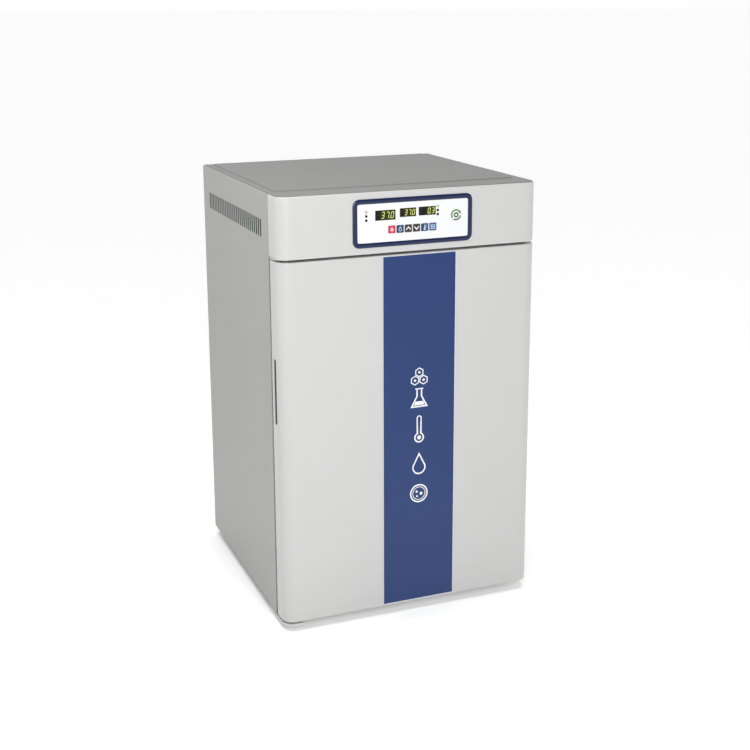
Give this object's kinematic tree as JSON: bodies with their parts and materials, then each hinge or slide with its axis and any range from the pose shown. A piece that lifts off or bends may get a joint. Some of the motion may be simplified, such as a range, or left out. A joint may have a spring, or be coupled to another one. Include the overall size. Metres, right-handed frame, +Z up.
{
  "type": "laboratory incubator",
  "caption": "Floor-standing cabinet incubator with a full-height hinged door, a glass inner door, perforated shelves and a control head above the door.",
  "frame": {"origin": "on the floor, in the middle of the footprint", "axes": "+X to the right of someone facing the door, -Y out of the front, +Z up"},
  "size_m": [0.562, 0.57, 0.9],
  "materials": {
    "cabinet_paint": "fine powder coat, satin",
    "top_paint": "fine powder coat, satin",
    "head_paint": "smooth enamel, semi-gloss",
    "door_paint": "smooth enamel, semi-gloss",
    "hinge_paint": "smooth enamel, semi-gloss",
    "mouth_paint": "smooth enamel, satin",
    "zinc_sheet": "satin",
    "foot_rubber": "matte",
    "bezel_plastic": "semi-gloss",
    "face_plastic": "satin film",
    "display_window": "gloss",
    "lamp_plastic": "gloss",
    "board": "solder mask",
    "key_red": "satin",
    "key_blue": "satin",
    "key_light_blue": "satin",
    "key_grey": "satin",
    "button_green": "satin",
    "foam": null,
    "seal_rubber": "matte",
    "silicone_seal": "matte",
    "stripe_film": "semi-gloss film",
    "grip_plastic": "matte",
    "bush_plastic": "matte",
    "plated_steel": "zinc plated",
    "stainless": "brushed",
    "heater_silicone": "matte",
    "filter_media": "pleated paper",
    "motor_metal": "cast",
    "fan_plastic": "satin",
    "sensor_metal": "turned",
    "clear_glass": "tempered float glass",
    "knob_plastic": "semi-gloss",
    "black_plastic": "satin",
    "brass_fitting": "turned",
    "rocker_plastic": "semi-gloss",
    "port_plastic": "satin",
    "plug_rubber": "matte"
  },
  "bodies": {
    "cabinet": {"access_port": "port_plastic", "base_pan": "zinc_sheet", "cabinet_frame": "zinc_sheet", "carbon_dioxide_sensor": "sensor_metal", "chamber_insulation": "foam", "chamber_liner": "stainless", "control_housing": "head_paint", "display_board": "board", "display_modules": "display_window", "fan_motor": "motor_metal", "feet": "foot_rubber", "front_frame": "mouth_paint", "gas_inlet": "brass_fitting", "gas_tube": "silicone_seal", "gas_valve": "motor_metal", "glass_door_catch": "black_plastic", "glass_hinge_brackets": "plated_steel", "heater_foils": "heater_silicone", "hepa_filter": "filter_media", "hinge_pins": "plated_steel", "hinge_plates": "hinge_paint", "indicator_lamps": "lamp_plastic", "left_side_panel": "cabinet_paint", "mains_inlet": "black_plastic", "panel_bezel": "bezel_plastic", "panel_face": "face_plastic", "plenum_cover": "stainless", "power_board": "board", "rear_cover": "cabinet_paint", "right_side_panel": "cabinet_paint", "screws": "plated_steel", "shelf_racks": "stainless", "switch_housing": "black_plastic", "temperature_probe": "sensor_metal", "top_cover": "top_paint"},
    "outer_door": {"door_shell": "door_paint", "door_insulation": "foam", "door_inner_panel": "mouth_paint", "door_gasket": "seal_rubber", "door_stripe": "stripe_film", "grip_cups": "grip_plastic", "hinge_bushes": "bush_plastic"},
    "inner_door": {"glass_pane": "clear_glass", "glass_gasket": "silicone_seal", "glass_hinge_leaves": "plated_steel", "glass_door_knob": "knob_plastic"},
    "fan": {"fan_impeller": "fan_plastic"},
    "lower_shelf": {"lower_shelf": "stainless"},
    "middle_shelf": {"middle_shelf": "stainless"},
    "upper_shelf": {"upper_shelf": "stainless"},
    "water_tray": {"water_tray": "stainless"},
    "mute_key": {"mute_key": "key_red"},
    "set_key": {"set_key": "key_blue"},
    "up_key": {"up_key": "key_grey"},
    "down_key": {"down_key": "key_grey"},
    "mode_key": {"mode_key": "key_blue"},
    "fan_key": {"fan_key": "key_light_blue"},
    "start_button": {"start_button": "button_green"},
    "switch_rocker": {"switch_rocker": "rocker_plastic"},
    "port_plug": {"port_plug": "plug_rubber"}
  },
  "joints": [
    {"name": "outer_door_swing", "type": "hinge", "parent": "cabinet", "child": "outer_door", "pos_m": [-0.256, -0.258, 0.39], "axis": [0, 0, -1], "range_deg": [0, 110]},
    {"name": "inner_door_swing", "type": "hinge", "parent": "cabinet", "child": "inner_door", "pos_m": [-0.216, -0.221, 0.4], "axis": [0, 0, -1], "range_deg": [0, 88]},
    {"name": "fan_spin", "type": "hinge", "parent": "cabinet", "child": "fan", "pos_m": [0, 0.06, 0.64], "axis": [0, 0, 1], "continuous": true},
    {"name": "lower_shelf_slide", "type": "slide", "parent": "cabinet", "child": "lower_shelf", "axis": [0, -1, 0], "range_m": [0, 0.03]},
    {"name": "middle_shelf_slide", "type": "slide", "parent": "cabinet", "child": "middle_shelf", "axis": [0, -1, 0], "range_m": [0, 0.03]},
    {"name": "upper_shelf_slide", "type": "slide", "parent": "cabinet", "child": "upper_shelf", "axis": [0, -1, 0], "range_m": [0, 0.03]},
    {"name": "water_tray_slide", "type": "slide", "parent": "cabinet", "child": "water_tray", "axis": [0, -1, 0], "range_m": [0, 0.034]},
    {"name": "mute_key_press", "type": "slide", "parent": "cabinet", "child": "mute_key", "axis": [0, 1, 0], "range_m": [0, 0.0006], "stiffness_N_per_m": 1500, "springref_m": -0.0002},
    {"name": "set_key_press", "type": "slide", "parent": "cabinet", "child": "set_key", "axis": [0, 1, 0], "range_m": [0, 0.0006], "stiffness_N_per_m": 1500, "springref_m": -0.0002},
    {"name": "up_key_press", "type": "slide", "parent": "cabinet", "child": "up_key", "axis": [0, 1, 0], "range_m": [0, 0.0006], "stiffness_N_per_m": 1500, "springref_m": -0.0002},
    {"name": "down_key_press", "type": "slide", "parent": "cabinet", "child": "down_key", "axis": [0, 1, 0], "range_m": [0, 0.0006], "stiffness_N_per_m": 1500, "springref_m": -0.0002},
    {"name": "mode_key_press", "type": "slide", "parent": "cabinet", "child": "mode_key", "axis": [0, 1, 0], "range_m": [0, 0.0006], "stiffness_N_per_m": 1500, "springref_m": -0.0002},
    {"name": "fan_key_press", "type": "slide", "parent": "cabinet", "child": "fan_key", "axis": [0, 1, 0], "range_m": [0, 0.0006], "stiffness_N_per_m": 1500, "springref_m": -0.0002},
    {"name": "start_button_press", "type": "slide", "parent": "cabinet", "child": "start_button", "axis": [0, 1, 0], "range_m": [0, 0.0006], "stiffness_N_per_m": 1500, "springref_m": -0.0002},
    {"name": "switch_rocker_tilt", "type": "hinge", "parent": "cabinet", "child": "switch_rocker", "pos_m": [-0.105, 0.262, 0.82], "axis": [1, 0, 0], "range_deg": [0, 18]},
    {"name": "port_plug_pull", "type": "slide", "parent": "cabinet", "child": "port_plug", "axis": [0, 1, 0], "range_m": [0, 0.08]}
  ],
  "couplings": [
    {"joint": "inner_door_swing", "follows": "outer_door_swing", "ratio": 0.8}
  ]
}
